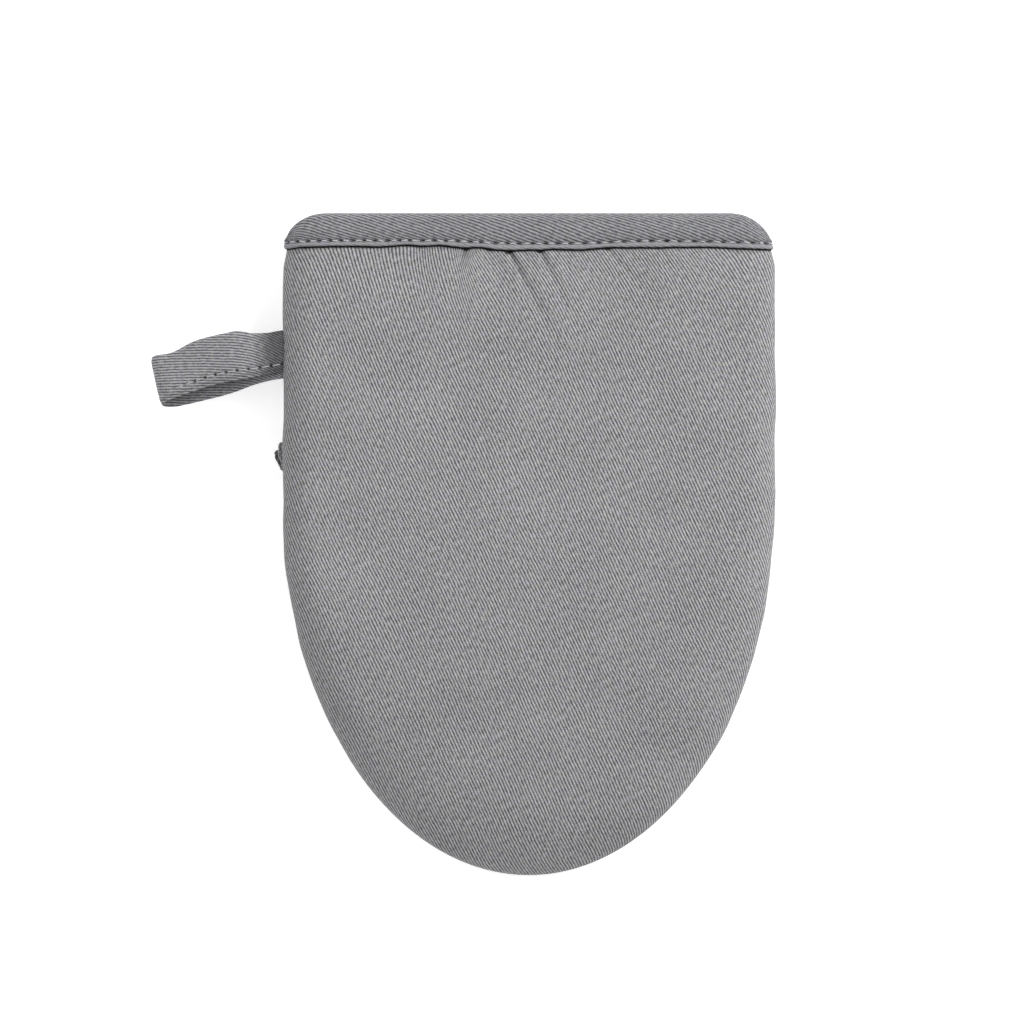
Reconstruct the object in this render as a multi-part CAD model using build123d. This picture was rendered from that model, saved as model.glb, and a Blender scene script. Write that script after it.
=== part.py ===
from build123d import *

import math
import os
from dataclasses import dataclass

# A quilted oven mitt lying palm side down. It opens like a glove puppet: a
# full-length back panel and a finger pocket above, and a short thumb jaw below
# that hinges on a crease across the palm. A hanging loop is sewn into the left
# side seam. Units are millimetres. +X is to the right, +Y points to the mouth
# where the hand goes in, +Z is up, away from the table. The origin is on the
# table under the middle of the body.

# Plan outline: straight sides, then a half ellipse round the fingertips
BODY_HALF_WIDTH = 80.0
STRAIGHT_LENGTH = 96.0
TIP_DEPTH = 120.0
MOUTH_Y = (STRAIGHT_LENGTH + TIP_DEPTH) / 2
ELLIPSE_Y = MOUTH_Y - STRAIGHT_LENGTH
TIP_Y = ELLIPSE_Y - TIP_DEPTH
MOUTH_CORNER = 10.0  # plan radius where the mouth meets the side seams

# Wall build-up, outside in: twill, wadding, lining
CLOTH = 0.7
WADDING = 3.3
LINING = 0.35
PLY_GAP = 0.05
WALL = CLOTH + WADDING + LINING + 2 * PLY_GAP
PLY_NAMES = ("shell", "wadding", "lining")
SEAM_GAP = 0.15  # between two panels at the seam that joins them
EDGE_ROUND = 11.0  # plan width of the rolled edge
CUT_PAST = 3.0  # how far a cutting solid runs past the seam

# Thumb jaw, on the table
THUMB_HALF_WIDTH = 78.5
THUMB_THICKNESS = 15.0
THUMB_SEAM_Z = THUMB_THICKNESS / 2
THUMB_ELLIPSE_Y = 17.0
THUMB_TIP_DEPTH = 51.0
THUMB_TIP_Y = THUMB_ELLIPSE_Y - THUMB_TIP_DEPTH

# Finger pocket: lies on the thumb jaw, then slopes down to the table near its tip
FINGER_THICKNESS = 15.0
FINGER_FLOOR_Z = THUMB_THICKNESS + 0.6
SEAM_Z = FINGER_FLOOR_Z + FINGER_THICKNESS / 2
BACK_Z = FINGER_FLOOR_Z + FINGER_THICKNESS
BEND_Y = -28.0
TOUCH_Y = -94.2
DROOP_SLOPE = FINGER_FLOOR_Z / (BEND_Y - TOUCH_Y)
TABLE_BITE = 0.2  # flattening of an underside where it rests

# Cuff and the binding folded over its rim
CREASE_Y = 25.0
CREASE_CLEAR = 0.3
BINDING_THICKNESS = 0.7
BINDING_CLEAR = 0.1
BINDING_WIDTH = 11.2
BINDING_Y = MOUTH_Y - BINDING_WIDTH
CUFF_FLOOR_Z = BINDING_THICKNESS + BINDING_CLEAR

# Thumb hinge: a rounded fold in the underside wall at the crease
HINGE_Z = 2.2
HINGE_ROUND = 2.2

# Hanging loop: a folded strip, skewed towards the fingertips and drooping
LOOP_AXIS_X = -83.1
LOOP_AXIS_Y = 61.6
LOOP_WIDTH = 15.4
LOOP_LENGTH = 41.5
LOOP_ROOT_RADIUS = 2.2
LOOP_HALF_HEIGHT = 5.0
LOOP_PLY = 2.1
LOOP_HEAD_AT = 11.0  # distance from the root to the full height
LOOP_SKEW_DEG = 11.6
LOOP_DROOP_DEG = 14.0
TAIL_LENGTH = 8.5
TAIL_THICKNESS = 2.2
TAIL_CLEAR = 0.1

# Folded cloth at the crease
GUSSET_THICKNESS = 2.0
GUSSET_INSET = 6.5
LEFT_TUCK_SIZE = (2.4, 11.0, 7.5)
RIGHT_TUCK_SIZE = (1.1, 13.0, 8.0)

# Threads
THREAD_RADIUS = 0.3
TOPSTITCH_Y = 98.7
TOPSTITCH_PITCH = 4.13
STITCH_LENGTH = 2.6
STITCH_PROUD = 0.2
LOOP_STITCH_PITCH = 3.8
LOOP_STITCH_FROM_EDGE = 3.0
SEAM_THREAD_INSET = 2.4

BIG = 400.0
QUARTER = 0.5523  # Bezier handle length for a quarter ellipse


@dataclass
class Outline:
    """Plan of a pocket: straight sides from the rear, then an elliptical tip."""

    half: float
    ellipse_y: float
    depth: float
    rear_y: float


BODY = Outline(BODY_HALF_WIDTH, ELLIPSE_Y, TIP_DEPTH, MOUTH_Y)
FINGERS = Outline(BODY_HALF_WIDTH, ELLIPSE_Y, TIP_DEPTH, CREASE_Y)
THUMB = Outline(THUMB_HALF_WIDTH, THUMB_ELLIPSE_Y, THUMB_TIP_DEPTH, CREASE_Y)
THUMB_WITH_FOLD = Outline(
    THUMB_HALF_WIDTH, THUMB_ELLIPSE_Y, THUMB_TIP_DEPTH, CREASE_Y + HINGE_ROUND
)


def rounded_half(half, rise, corner, past_seam=0.0):
    """Right half of a section, its seam at height 0, in the XZ plane."""
    seam = Vector(half, 0, 0)
    top = Vector(half - corner, 0, rise)
    up = Vector(0, 0, rise * QUARTER)
    out = Vector(corner * QUARTER, 0, 0)
    edges = [
        Edge.make_bezier(seam, seam + up, top + out, top),
        Edge.make_line(top, (0, 0, rise)),
    ]
    low = Vector(0, 0, -math.copysign(past_seam, rise))
    edges.append(Edge.make_line((0, 0, rise), low))
    edges.append(Edge.make_line(low, seam + low))
    if past_seam > 0:
        edges.append(Edge.make_line(seam + low, seam))
    return Face(Wire(edges))


def straight_run(half, rise, inset, front_y, rear_y, past_seam=0.0):
    """Half pocket of constant section between two values of y."""
    step = inset if rise > 0 else -inset
    side = rounded_half(half - inset, rise - step, EDGE_ROUND - inset, past_seam)
    run = extrude(side, rear_y - front_y, dir=(0, 1, 0))
    return Pos(0, front_y, 0) * (run + mirror(run, about=Plane.YZ))


def half_pocket(outline, rise, inset=0.0, past_seam=0.0):
    """Solid half pocket, flat on its seam and drawn in by inset, with its tip."""
    half = outline.half - inset
    step = inset if rise > 0 else -inset
    side = rounded_half(half, rise - step, EDGE_ROUND - inset, past_seam)
    dome = revolve(side, Axis.Z, 360)
    dome = scale(dome, by=(1, (outline.depth - inset) / half, 1))
    dome &= slab(-BIG / 2, 0)
    bar = straight_run(
        outline.half, rise, inset, outline.ellipse_y, outline.rear_y, past_seam
    )
    return Pos(0, outline.ellipse_y, 0) * dome + bar


def slab(y_low, y_high, z_low=-BIG / 2, z_high=BIG / 2):
    """Block across the full width between two values of y and of z."""
    size = (BIG, y_high - y_low, z_high - z_low)
    return Pos(0, (y_low + y_high) / 2, (z_low + z_high) / 2) * Box(*size)


ABOVE_TABLE = slab(-BIG / 2, BIG / 2, 0.0)


def ply_bounds():
    """Inset of each ply's outer and inner face."""
    wadding_at = CLOTH + PLY_GAP
    lining_at = wadding_at + WADDING + PLY_GAP
    return ((0.0, CLOTH), (wadding_at, wadding_at + WADDING), (lining_at, WALL))


def plies(make_half, seam_z):
    """The plies of a panel, from a function that makes its half pocket at an inset."""
    return [
        Pos(0, 0, seam_z) * (make_half(outer, 0.0) - make_half(inner, CUT_PAST))
        for outer, inner in ply_bounds()
    ]


def drooped(shape):
    """Slope the fingers down beyond the bend, by shearing that end."""
    matrix = Matrix(
        [
            [1, 0, 0, 0],
            [0, 1, 0, 0],
            [0, DROOP_SLOPE, 1, -DROOP_SLOPE * BEND_Y],
        ]
    )
    tip = (shape & slab(-BIG / 2, BEND_Y)).transform_geometry(matrix)
    return (shape & slab(BEND_Y, BIG / 2)) + tip


def mouth_trim(half, rim_y, corner):
    """Prism that rounds the plan corners of the mouth."""
    plan = Pos(0, rim_y - BIG / 2) * RectangleRounded(2 * half, BIG, corner)
    return extrude(plan, BIG / 4, both=True)


def hinge_bar(radius):
    """Cylinder along the thumb's hinge axis, wider than the body."""
    return Pos(0, CREASE_Y, HINGE_Z) * Rot(0, 90, 0) * Cylinder(radius, BIG)


def loop_plane():
    """Plane of the loop's side profile: its X runs out along the drooping loop."""
    skew = math.radians(LOOP_SKEW_DEG)
    droop = math.radians(LOOP_DROOP_DEG)
    out = Vector(-math.cos(skew), -math.sin(skew), 0) * math.cos(droop)
    out -= Vector(0, 0, math.sin(droop))
    start = Vector(LOOP_AXIS_X, LOOP_AXIS_Y - LOOP_WIDTH / 2, SEAM_Z)
    return Plane(origin=start, x_dir=out, z_dir=out.cross(Vector(0, 0, 1)))


def make_loop():
    """The folded strip, extruded along the seam so that its root stays parallel to it."""
    head = Pos(LOOP_HEAD_AT, 0)
    end = Pos(LOOP_LENGTH - LOOP_HALF_HEIGHT, 0)
    rounds = Circle(LOOP_ROOT_RADIUS) + head * Circle(LOOP_HALF_HEIGHT)
    outer = make_hull((rounds + end * Circle(LOOP_HALF_HEIGHT)).edges())
    eye = LOOP_HALF_HEIGHT - LOOP_PLY
    inner = make_hull((head * Circle(eye) + end * Circle(eye)).edges())
    return extrude(loop_plane() * (outer - inner), LOOP_WIDTH, dir=(0, 1, 0))


def make_tail(clear=0.0):
    """The loop's ends inside the seam, or the slot cut for them."""
    root_x = LOOP_AXIS_X + LOOP_ROOT_RADIUS + 0.4
    size = (TAIL_LENGTH, LOOP_WIDTH + 2 * clear, TAIL_THICKNESS + 2 * clear)
    return Pos(root_x + TAIL_LENGTH / 2, LOOP_AXIS_Y, SEAM_Z) * Box(*size)


def stitch(at, along):
    """One visible stitch: a short straight piece of thread."""
    return Plane(origin=at, z_dir=along) * Cylinder(THREAD_RADIUS, STITCH_LENGTH)


def rim_path(rise):
    """Line of the topstitching over the upper or the lower half of the mouth."""
    raised = BINDING_THICKNESS + STITCH_PROUD - THREAD_RADIUS
    half = BODY_HALF_WIDTH + raised
    height = rise + math.copysign(raised, rise)
    outer = rounded_half(half, height, EDGE_ROUND + raised).edges()
    right = Wire([e for e in outer if e.geom_type != GeomType.LINE])
    right = Pos(0, TOPSTITCH_Y, SEAM_Z) * right
    top = Edge.make_line(right @ 1, (0, TOPSTITCH_Y, SEAM_Z + height))
    return Wire([*right.edges(), top])


def make_topstitch():
    """Row of stitches that holds the binding, all the way round the mouth."""
    found = []
    for rise in (BACK_Z - SEAM_Z, CUFF_FLOOR_Z - SEAM_Z):
        path = rim_path(rise)
        count = round(path.length / TOPSTITCH_PITCH)
        for i in range(count):
            at = (i + 0.5) / count
            right = stitch(path @ at, path % at) & ABOVE_TABLE
            found += [right, mirror(right, about=Plane.YZ)]
    return found


def make_loop_stitches():
    """Edge stitching of the loop's strip, on both of its runs."""
    plane = loop_plane()
    last = LOOP_LENGTH - LOOP_HALF_HEIGHT
    count = int((last - LOOP_HEAD_AT) / LOOP_STITCH_PITCH) + 1
    depth = LOOP_HALF_HEIGHT + STITCH_PROUD - THREAD_RADIUS
    found = []
    for side in (-depth, depth):
        for i in range(count):
            at = plane.origin + plane.x_dir * (LOOP_HEAD_AT + i * LOOP_STITCH_PITCH)
            at += plane.y_dir * side + Vector(0, LOOP_STITCH_FROM_EDGE, 0)
            found.append(stitch(at, plane.x_dir))
    return found


def make_binding():
    """Band folded over the rim of the mouth: a channel that follows the whole rim."""

    def tube(inset):
        upper = straight_run(
            BODY_HALF_WIDTH, BACK_Z - SEAM_Z, inset, BINDING_Y, MOUTH_Y
        )
        lower = straight_run(
            BODY_HALF_WIDTH, CUFF_FLOOR_Z - SEAM_Z, inset, BINDING_Y, MOUTH_Y
        )
        return Pos(0, 0, SEAM_Z) * (upper + lower)

    outer = tube(-BINDING_THICKNESS) & mouth_trim(
        BODY_HALF_WIDTH + BINDING_THICKNESS, MOUTH_Y, MOUTH_CORNER
    )
    rim_y = MOUTH_Y - BINDING_THICKNESS + BINDING_CLEAR
    groove = tube(-BINDING_CLEAR) & mouth_trim(
        BODY_HALF_WIDTH + BINDING_CLEAR, rim_y, MOUTH_CORNER - BINDING_THICKNESS
    )
    groove -= tube(WALL + BINDING_CLEAR)
    return outer - tube(WALL + BINDING_THICKNESS) - groove


def seam_thread(outline):
    """Line of lockstitch just inside a U-shaped seam, its middle at height 0."""
    rings = []
    for inset in (SEAM_THREAD_INSET, SEAM_THREAD_INSET + 2 * THREAD_RADIUS):
        half = outline.half - inset
        end = Pos(0, outline.ellipse_y) * Ellipse(half, outline.depth - inset)
        length = outline.rear_y - outline.ellipse_y
        sides = Pos(0, outline.ellipse_y + length / 2) * Rectangle(2 * half, length)
        below = Pos(0, outline.ellipse_y - BIG / 2) * Rectangle(BIG, BIG)
        rings.append((end & below) + sides)
    line = rings[0] - rings[1]
    return extrude(line, THREAD_RADIUS, both=True)


def make_tuck(size, centre):
    """Folded cloth at one end of the crease, beside the thumb jaw."""
    block = Box(*size)
    return Pos(*centre) * fillet(block.edges(), 0.45 * min(size))


def make_gusset():
    """Folded allowances where the palm pieces meet inside the crease."""
    low = THUMB_THICKNESS - WALL + 0.3
    high = FINGER_FLOOR_Z + WALL - 0.2
    front = CREASE_Y + CREASE_CLEAR + 0.1
    sheet = slab(front, front + GUSSET_THICKNESS, low, high)
    return sheet & Box(2 * (BODY_HALF_WIDTH - GUSSET_INSET), BIG, BIG)


def make_panels():
    """Every ply of the five padded panels, by node name."""
    rim = mouth_trim(
        BODY_HALF_WIDTH, MOUTH_Y - BINDING_THICKNESS, MOUTH_CORNER - BINDING_THICKNESS
    )
    slot = make_tail(TAIL_CLEAR)
    behind = CREASE_Y + CREASE_CLEAR
    groove = hinge_bar(HINGE_ROUND + CREASE_CLEAR)
    jaw = slab(-BIG / 2, CREASE_Y - CREASE_CLEAR)
    lower_seam = SEAM_Z - SEAM_GAP

    nodes = {}
    back = plies(lambda k, past: half_pocket(BODY, BACK_Z - SEAM_Z, k, past), SEAM_Z)
    for name, ply in zip(PLY_NAMES, back):
        nodes[f"back_{name}"] = drooped((ply & rim) - slot)

    finger_drop = FINGER_FLOOR_Z - TABLE_BITE - lower_seam
    grip = plies(lambda k, past: half_pocket(FINGERS, finger_drop, k, past), lower_seam)
    for name, ply in zip(PLY_NAMES, grip):
        nodes[f"finger_grip_{name}"] = drooped(ply) & ABOVE_TABLE

    cuff_drop = CUFF_FLOOR_Z - lower_seam
    cuff = plies(
        lambda k, past: straight_run(
            BODY_HALF_WIDTH, cuff_drop, k, behind, MOUTH_Y, past
        ),
        lower_seam,
    )
    for name, ply in zip(PLY_NAMES, cuff):
        nodes[f"cuff_{name}"] = (ply & rim) - slot - groove

    thumb_drop = -TABLE_BITE - THUMB_SEAM_Z
    palm = plies(
        lambda k, past: half_pocket(THUMB_WITH_FOLD, thumb_drop, k, past), THUMB_SEAM_Z
    )
    fold = hinge_bar(HINGE_ROUND)
    for name, ply in zip(PLY_NAMES, palm):
        nodes[f"thumb_back_{name}"] = ply & (jaw + fold) & ABOVE_TABLE

    thumb_rise = THUMB_THICKNESS - THUMB_SEAM_Z - SEAM_GAP
    thumb_grip = plies(
        lambda k, past: half_pocket(THUMB, thumb_rise, k, past),
        THUMB_SEAM_Z + SEAM_GAP,
    )
    for name, ply in zip(PLY_NAMES, thumb_grip):
        nodes[f"thumb_grip_{name}"] = ply & jaw
    return nodes


def group(solids):
    """Several separate solids as one node."""
    return Compound(children=[s for found in solids for s in found.solids()])


def main():
    nodes = make_panels()
    nodes["mouth_binding"] = make_binding()
    nodes["binding_topstitch"] = group(make_topstitch())
    side_thread = Pos(0, 0, SEAM_Z) * seam_thread(BODY)
    side_thread &= slab(-BIG / 2, LOOP_AXIS_Y - LOOP_WIDTH)
    nodes["side_seam_thread"] = drooped(side_thread)
    thumb_thread = Pos(0, 0, THUMB_SEAM_Z + SEAM_GAP / 2) * seam_thread(THUMB)
    nodes["thumb_seam_thread"] = thumb_thread & slab(-BIG / 2, CREASE_Y - 2)
    nodes["crease_gusset"] = make_gusset()
    left_x = -BODY_HALF_WIDTH - 0.2 - LEFT_TUCK_SIZE[0] / 2
    left_y = CREASE_Y + 3.6
    nodes["crease_tuck_left"] = make_tuck(LEFT_TUCK_SIZE, (left_x, left_y, 13.0))
    right_x = THUMB_HALF_WIDTH + 0.3 + RIGHT_TUCK_SIZE[0] / 2
    right_y = CREASE_Y - 7.5
    nodes["crease_tuck_right"] = make_tuck(RIGHT_TUCK_SIZE, (right_x, right_y, 8.0))
    nodes["hanging_loop"] = make_loop()
    nodes["loop_tail"] = make_tail()
    nodes["loop_edge_stitches"] = group(make_loop_stitches())

    os.makedirs("parts", exist_ok=True)
    for name, shape in nodes.items():
        export_step(shape, f"parts/{name}.step")


main()
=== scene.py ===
import math

import bmesh
import bpy
import numpy as np
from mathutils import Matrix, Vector


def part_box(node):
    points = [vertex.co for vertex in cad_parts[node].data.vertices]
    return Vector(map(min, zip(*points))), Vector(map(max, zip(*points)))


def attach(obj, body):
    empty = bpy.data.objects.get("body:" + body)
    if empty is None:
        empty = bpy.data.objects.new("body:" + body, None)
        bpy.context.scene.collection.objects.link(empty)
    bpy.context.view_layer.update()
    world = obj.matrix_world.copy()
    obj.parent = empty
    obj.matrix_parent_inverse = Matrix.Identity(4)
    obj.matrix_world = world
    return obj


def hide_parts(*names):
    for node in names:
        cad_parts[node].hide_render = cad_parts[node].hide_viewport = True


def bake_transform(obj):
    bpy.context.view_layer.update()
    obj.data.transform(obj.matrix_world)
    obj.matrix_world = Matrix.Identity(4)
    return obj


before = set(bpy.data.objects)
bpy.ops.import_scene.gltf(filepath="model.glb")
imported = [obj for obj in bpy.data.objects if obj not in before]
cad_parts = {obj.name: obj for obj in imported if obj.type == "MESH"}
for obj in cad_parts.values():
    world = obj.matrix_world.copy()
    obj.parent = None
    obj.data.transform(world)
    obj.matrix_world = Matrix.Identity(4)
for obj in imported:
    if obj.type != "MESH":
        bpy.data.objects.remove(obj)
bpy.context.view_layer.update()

# The oven mitt's cloth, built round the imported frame: covers, wadding and linings
# of the back, the finger grip, the palm and the thumb grip, the folded binding, the
# hanging loop, the folds at the crease and every visible stitch. Metres, with x
# across the mitt, y from the fingertips to the mouth and z up from the table.

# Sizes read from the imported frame
back_low, back_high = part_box("back_shell")
cuff_low, cuff_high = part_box("cuff_shell")
thumb_low, thumb_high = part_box("thumb_back_shell")
_, grip_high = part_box("thumb_grip_shell")
band_low, band_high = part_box("mouth_binding")
HALF = back_high.x
TIP_Y = back_low.y
MOUTH_Y = band_high.y
BAND_Y = band_low.y
SEAM_Z = cuff_high.z + 0.00015
TOP_Z = back_high.z
CUFF_Z = cuff_low.z
FINGER_Z = TOP_Z - 0.015
# The straight sides end at ELLIPSE_Y; the fingers sink to the table from BEND_Y on
ELLIPSE_Y = MOUTH_Y - 0.096
CREASE_Y = 0.025
BEND_Y = -0.028
DROOP_END_Y = -0.0942
DROOP = FINGER_Z / (BEND_Y - DROOP_END_Y)
THUMB_HALF = thumb_high.x
THUMB_TIP_Y = thumb_low.y
THUMB_ELLIPSE_Y = 0.017
THUMB_SEAM_Z = thumb_high.z
THUMB_TOP_Z = grip_high.z
# Radius of a panel's rolled edge, thickness of the twill and of the whole wall,
# end of the plies inside the binding, and height of the topstitches on the band
EDGE = 0.011
CLOTH = 0.0007
WALL = 0.00445
RIM_Y = MOUTH_Y - 0.0011
STITCH_AT = 0.0019
FINE = 1.0


# --- small helpers
scene = bpy.context.scene
norm = np.linalg.norm


def add_object(name, data):
    obj = bpy.data.objects.new(name, data)
    scene.collection.objects.link(obj)
    return obj


def mm(rows):
    """A table written in millimetres, in metres."""
    return np.array(rows) / 1000


def run_length(steps):
    """Distance passed at each point, from the steps between them."""
    return np.append(0.0, np.cumsum(steps))


def smooth(v, low, high):
    t = np.clip((v - low) / (high - low), 0.0, 1.0)
    return t * t * (3 - 2 * t)


def bump(v, centre, width):
    return np.exp(-(((v - centre) / width) ** 2))


def waves(seed, count, longest, shortest):
    """A smooth random field: a sum of plane waves, about 1 high."""
    pick = np.random.default_rng(seed)
    length = np.exp(pick.uniform(math.log(shortest), math.log(longest), count))
    turn = pick.uniform(0, math.tau, count)
    phase = pick.uniform(0, math.tau, count)
    size = (length / longest) ** 0.8

    def field(x, y):
        total = np.zeros(np.broadcast(x, y).shape)
        for i in range(count):
            k = math.tau / length[i]
            across = x * math.cos(turn[i]) + y * math.sin(turn[i])
            total = total + size[i] * np.sin(k * across + phase[i])
        return total / math.sqrt((size**2).sum() / 2) * 0.5

    return field


def pinch(y):
    """How far the binding draws each side in at y."""
    return 0.0015 * smooth(y, BAND_Y - 0.007, BAND_Y + 0.001)


lumps = waves(3, 26, 0.06, 0.016)
ripples = waves(5, 30, 0.016, 0.005)
edge_wander = waves(9, 12, 0.045, 0.012)

# The band's lower edge and its line of stitches, from side to side: (x, y) in mm
BAND_EDGE = mm([
    (-80, 96.3), (-74.3, 97), (-61.3, 97.2), (-50, 97), (-38.6, 97.7), (-35.3, 97.2),
    (-29.8, 97.6), (-20.7, 96.6), (-15.8, 96.9), (-11, 96), (-6.1, 95.8), (0.4, 96.2),
    (3.7, 95.9), (7.9, 96.4), (16.7, 96.05), (23.2, 96.6), (27, 96.9), (39.4, 96.8),
    (55.7, 97), (80, 96.2),
])
BAND_STITCHES = mm([
    (-80, 98.4), (-74, 98.8), (-60, 99), (-45, 99), (-30, 99), (-20, 98.7), (-12, 98.2),
    (-5, 98), (6, 98.1), (16, 98), (24, 98.3), (30, 98.7), (40, 98.9), (55, 98.7),
    (68, 98.4), (80, 98.1),
])
# How far cloth is drawn sideways where it is gathered into the band: (x, shift) in mm
BAND_DRIFT = mm([
    (-80, 0), (-60, -2.8), (-37, -5.6), (-30, -3.4), (-23.5, -3.6), (-18, 3.6), (0, 4),
    (60, 4), (70, 2), (80, 0),
])
DRIFT_FADE = 0.012
LINE_X = np.linspace(-0.084, 0.084, 1200)
# The mouth's rounded corners: where they start, their run in x and their drop in y
CORNER_X, CORNER_RUN, CORNER_DROP = 0.0685, 0.0115, 0.0093


def soft_line(points, spread):
    """A table of y against x with its corners rounded over a distance."""
    x, y = points.T
    rough = np.interp(LINE_X, x, y)
    weight = bump(LINE_X - LINE_X.mean(), 0.0, spread)
    padded = np.pad(rough, len(weight) // 2, "edge")
    return np.convolve(padded, weight / weight.sum(), "same")[len(weight) // 2 :][: len(LINE_X)]


EDGE_LINE = soft_line(BAND_EDGE, 0.0016)
STITCH_LINE = soft_line(BAND_STITCHES, 0.0045)
DRIFT_LINE = soft_line(BAND_DRIFT, 0.0022)


def band_edge(x):
    """The binding's lower edge: it wanders, and bows down near the middle."""
    return np.interp(x, LINE_X, EDGE_LINE) + 0.0001 * ripples(x, 0 * x)


def stitch_line(x):
    return np.interp(x, LINE_X, STITCH_LINE)


def rim_height(x):
    """y of the mouth's edge: straight, with rounded corners at the side seams."""
    t = np.clip((np.abs(x) - CORNER_X) / CORNER_RUN, 0.0, 1.0)
    return MOUTH_Y - CORNER_DROP * (1 - np.sqrt(1 - t * t))


# --- panel shapes
class Panel:
    """Half of a pocket: a pillowed sheet with straight sides and an elliptical tip."""

    def __init__(self, half, ellipse_y, tip_y, seam, face):
        self.half = half
        self.ellipse_y = ellipse_y
        self.depth = ellipse_y - tip_y
        self.seam = seam
        self.face = face
        self.settled = None

    def width(self, y, k):
        """Half width at y, drawn in by k."""
        t = np.clip((self.ellipse_y - y) / (self.depth - k), 0.0, 1.0)
        return (self.half - k) * np.sqrt(np.maximum(1 - t * t, 0.0)) - pinch(y)

    def beyond(self, y, k):
        """How far y is into the tip, on the scale that makes the tip a circle."""
        return np.maximum(self.ellipse_y - y, 0.0) * (self.half - k) / (self.depth - k)

    def height(self, x, y, k):
        """Height at x, y, drawn in by k: a rolled edge round the seam."""
        inward = np.maximum(self.half - k - pinch(y) - np.hypot(x, self.beyond(y, k)), 0.0)
        t = np.clip(inward / (EDGE - k), 0.0, 1.0)
        seam = self.seam(y)
        rise = self.face(y) - seam
        rise = rise - np.sign(rise) * k
        return seam + rise * np.sqrt(np.maximum(1 - (1 - t) ** 2, 0.0))


def droop(y):
    """How far the fingers have sunk at y, bending over a few centimetres."""
    run = 0.012
    s = BEND_Y - y
    eased = run * np.logaddexp(0.0, s / run)
    return DROOP * eased * smooth(s, -0.05, 0.0) ** 0.5


def back_seam(y):
    return SEAM_Z - droop(y)


def back_face(y):
    sag = 0.0012 * smooth(y, BAND_Y - 0.018, BAND_Y - 0.002)
    return TOP_Z - droop(y) - sag


def finger_face(y):
    return np.maximum(FINGER_Z - droop(y), -0.0001)


def past_crease(y):
    """0 on the thumb jaw's side of the crease, 1 on the cuff's."""
    return smooth(y, CREASE_Y + 0.0002, CREASE_Y + 0.0044)


def palm_seam(y):
    """The lower panel's side seam, dropping to the thumb jaw's at the crease."""
    low = THUMB_SEAM_Z - 0.0001
    return low + (SEAM_Z - 0.0002 - low) * past_crease(y)


def palm_face(y):
    return CUFF_Z * smooth(y, CREASE_Y - 0.004, CREASE_Y + 0.01)


class PalmPanel(Panel):
    """The cuff's underside and the thumb jaw's back, one cloth over the crease."""

    def __init__(self):
        super().__init__(THUMB_HALF, THUMB_ELLIPSE_Y, THUMB_TIP_Y, palm_seam, palm_face)
        self.cuff = Panel(HALF, ELLIPSE_Y, TIP_Y, palm_seam, palm_face)

    def width(self, y, k):
        w = past_crease(y)
        return w * self.cuff.width(y, k) + (1 - w) * super().width(y, k)

    def height(self, x, y, k):
        w = past_crease(y)
        return w * self.cuff.height(x, y, k) + (1 - w) * super().height(x, y, k)


back_panel = Panel(HALF, ELLIPSE_Y, TIP_Y, back_seam, back_face)
finger_panel = Panel(HALF, ELLIPSE_Y, TIP_Y, lambda y: back_seam(y) - 0.0002, finger_face)
palm_panel = PalmPanel()
thumb_panel = Panel(
    THUMB_HALF, THUMB_ELLIPSE_Y, THUMB_TIP_Y,
    lambda y: THUMB_SEAM_Z + 0.0001 + 0 * y, lambda y: THUMB_TOP_Z + 0 * y,
)


# --- mesh building
def swayed(co):
    """The whole mitt's side edges wander a little along their length."""
    co = np.array(co, float).reshape(-1, 3)
    x, y = co[:, 0], co[:, 1]
    side = smooth(np.abs(x), 0.045, 0.08) * smooth(y, -0.095, -0.06)
    co[:, 0] = x + 0.00042 * side * edge_wander(y, 0.02 * np.sign(x))
    return co


def new_mesh(name, co, faces, uv, shade, material):
    """A mesh object with cloth coordinates and a shade value at each vertex."""
    mesh = bpy.data.meshes.new(name)
    mesh.from_pydata(swayed(co).tolist(), [], [list(map(int, f)) for f in faces])
    layer = mesh.uv_layers.new(name="cloth")
    index = np.zeros(len(mesh.loops), np.int32)
    mesh.loops.foreach_get("vertex_index", index)
    uv = np.asarray(uv, np.float32).reshape(-1, 2)
    layer.data.foreach_set("uv", uv[index].ravel())
    attribute = mesh.attributes.new("shade", "FLOAT", "POINT")
    attribute.data.foreach_set("value", np.asarray(shade, np.float32).ravel())
    mesh.polygons.foreach_set("use_smooth", np.ones(len(mesh.polygons), bool))
    mesh.materials.append(material)
    work = bmesh.new()
    work.from_mesh(mesh)
    bmesh.ops.remove_doubles(work, verts=work.verts, dist=1e-6)
    bmesh.ops.recalc_face_normals(work, faces=work.faces)
    work.to_mesh(mesh)
    work.free()
    mesh.update()
    return add_object(name, mesh)


def grid_faces(rows, columns, start=0, close=False):
    """Quads between the rows of a grid of vertices."""
    at = start + np.arange(rows * columns).reshape(rows, columns)
    if close:
        at = np.hstack([at, at[:, :1]])
    quads = (at[:-1, :-1], at[:-1, 1:], at[1:, 1:], at[1:, :-1])
    return np.stack(quads, -1).reshape(-1, 4)


def strip_faces(one, other):
    return np.stack((one[:-1], one[1:], other[1:], other[:-1]), -1)


def tube_faces(rows, columns, start=0):
    """Quads round a tube of rings, and its two end faces."""
    ends = (start, start + (rows - 1) * columns)
    caps = [list(range(end, end + columns)) for end in ends]
    return grid_faces(rows, columns, start, close=True).tolist() + caps


def closed_sheet(name, outer, inner, uv, shade, material):
    """A thin closed solid between two grids, one on each side of the cloth."""
    rows, columns = outer.shape[:2]
    count = rows * columns
    index = np.arange(count).reshape(rows, columns)
    faces = [grid_faces(rows, columns), grid_faces(rows, columns, count)]
    for edge in (index[0], index[-1], index[:, 0], index[:, -1]):
        faces.append(strip_faces(edge, edge + count))
    faces = np.concatenate(faces)
    return new_mesh(name, [outer, inner], faces, [uv, uv], [shade, shade], material)


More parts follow.
